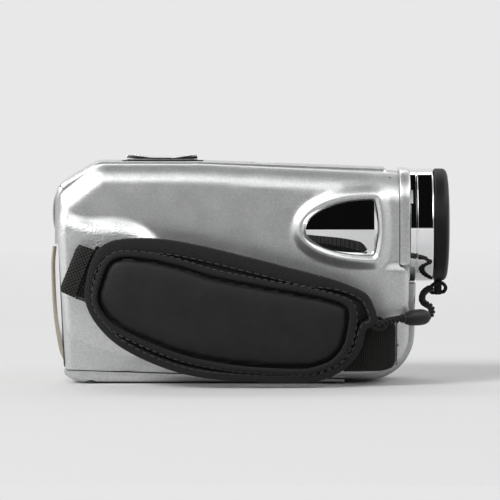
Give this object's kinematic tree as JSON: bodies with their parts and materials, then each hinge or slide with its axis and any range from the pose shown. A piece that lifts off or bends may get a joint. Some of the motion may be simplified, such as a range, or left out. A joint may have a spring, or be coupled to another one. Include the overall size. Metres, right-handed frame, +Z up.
{
  "type": "camcorder",
  "caption": "Compact camcorder with a fold-out screen, a padded hand strap, a zoom rocker and a push-on lens cap on a short tether.",
  "frame": {"origin": "centre of the object's box in X and Y, on the surface that its four rubber feet stand on", "axes": "+X along the lens towards the scene, +Z up, -Y towards the hand strap and +Y towards the fold-out screen"},
  "size_m": [0.1142, 0.0646, 0.065],
  "materials": {
    "silver": "fine metallic silver paint, satin",
    "champagne": "glossy champagne panel",
    "chrome": "bright mirror plating",
    "black_plastic": "fine matt moulding",
    "gloss_black": "gloss black",
    "glass": "coated glass",
    "steel": "bare steel",
    "brass": "turned brass",
    "board": "green circuit board",
    "battery": "battery sleeve",
    "rubber": "soft rubber",
    "webbing": "woven nylon webbing and binding",
    "leather": "fine-grained black synthetic leather",
    "cord": "twisted nylon cord"
  },
  "bodies": {
    "root": {"right_shell": "silver", "left_shell": "silver", "top_cover": "silver", "rear_frame": "silver", "front_plate": "silver", "front_bezel": "silver", "bottom_cover": "silver", "hinge_bracket": "silver", "rear_panel": "champagne", "lens_hood": "chrome", "leaf_insert": "chrome", "lens_mask": "black_plastic", "lens_barrel": "black_plastic", "rocker_tray": "black_plastic", "speaker": "black_plastic", "microphone": "black_plastic", "cord_bead": "black_plastic", "memory_card": "gloss_black", "front_element": "glass", "rear_element": "glass", "lamp": "glass", "rocker_pin": "steel", "hinge_pin": "steel", "door_pin": "steel", "usb_socket": "steel", "card_socket": "steel", "strap_bar_front": "steel", "strap_bar_rear": "steel", "base_screw_1": "steel", "base_screw_2": "steel", "tripod_bush": "brass", "battery_contacts": "brass", "main_board": "board", "key_board": "board", "image_sensor": "board", "battery": "battery", "foot_1": "rubber", "foot_2": "rubber", "foot_3": "rubber", "foot_4": "rubber", "webbing_rear": "webbing", "webbing_front": "webbing", "strap_pad": "webbing", "strap_flap": "leather", "tether_rear": "cord"},
    "lens_cap": {"lens_cap": "black_plastic", "tether_front": "cord"},
    "zoom_rocker": {"rocker_base": "black_plastic", "rocker_cap": "chrome"},
    "snapshot_button": {"snapshot_button": "chrome"},
    "record_button": {"record_button": "gloss_black"},
    "power_button": {"power_button": "black_plastic"},
    "menu_button": {"menu_button": "black_plastic"},
    "play_button": {"play_button": "black_plastic"},
    "screen": {"screen_cover": "silver", "screen_bezel": "gloss_black", "screen_panel": "glass"},
    "usb_cover": {"usb_cover": "rubber"},
    "battery_door": {"battery_door": "silver"},
    "door_latch": {"door_latch": "black_plastic"}
  },
  "joints": [
    {"name": "cap_pull", "type": "slide", "parent": "root", "child": "lens_cap", "axis": [1, 0, 0], "range_m": [0, 0.008], "deforming": ["tether_front"]},
    {"name": "zoom_rock", "type": "hinge", "parent": "root", "child": "zoom_rocker", "pos_m": [-0.02535, 0.006, 0.0619], "axis": [0, 1, 0], "range_deg": [-5, 5], "stiffness_Nm_per_rad": 0.12},
    {"name": "snapshot_press", "type": "slide", "parent": "root", "child": "snapshot_button", "axis": [0, 0, -1], "range_m": [0, 0.0008], "stiffness_N_per_m": 1500},
    {"name": "record_press", "type": "slide", "parent": "root", "child": "record_button", "axis": [1, 0, 0], "range_m": [0, 0.0008], "stiffness_N_per_m": 1500},
    {"name": "screen_open", "type": "hinge", "parent": "root", "child": "screen", "pos_m": [0.03385, 0.0287, 0.033], "axis": [0, 0, -1], "range_deg": [0, 90]},
    {"name": "usb_open", "type": "hinge", "parent": "root", "child": "usb_cover", "pos_m": [-0.04315, 0.02555, 0.03], "axis": [0, 0, -1], "range_deg": [0, 110]},
    {"name": "door_open", "type": "hinge", "parent": "root", "child": "battery_door", "pos_m": [-0.01455, 0.0073, 0.0018], "axis": [0, 1, 0], "range_deg": [0, 90]},
    {"name": "latch_slide", "type": "slide", "parent": "battery_door", "child": "door_latch", "axis": [-1, 0, 0], "range_m": [0, 0.0022]},
    {"name": "power_press", "type": "slide", "parent": "root", "child": "power_button", "axis": [0, -1, 0], "range_m": [0, 0.0006], "stiffness_N_per_m": 1500},
    {"name": "menu_press", "type": "slide", "parent": "root", "child": "menu_button", "axis": [0, -1, 0], "range_m": [0, 0.0006], "stiffness_N_per_m": 1500},
    {"name": "play_press", "type": "slide", "parent": "root", "child": "play_button", "axis": [0, -1, 0], "range_m": [0, 0.0006], "stiffness_N_per_m": 1500}
  ]
}
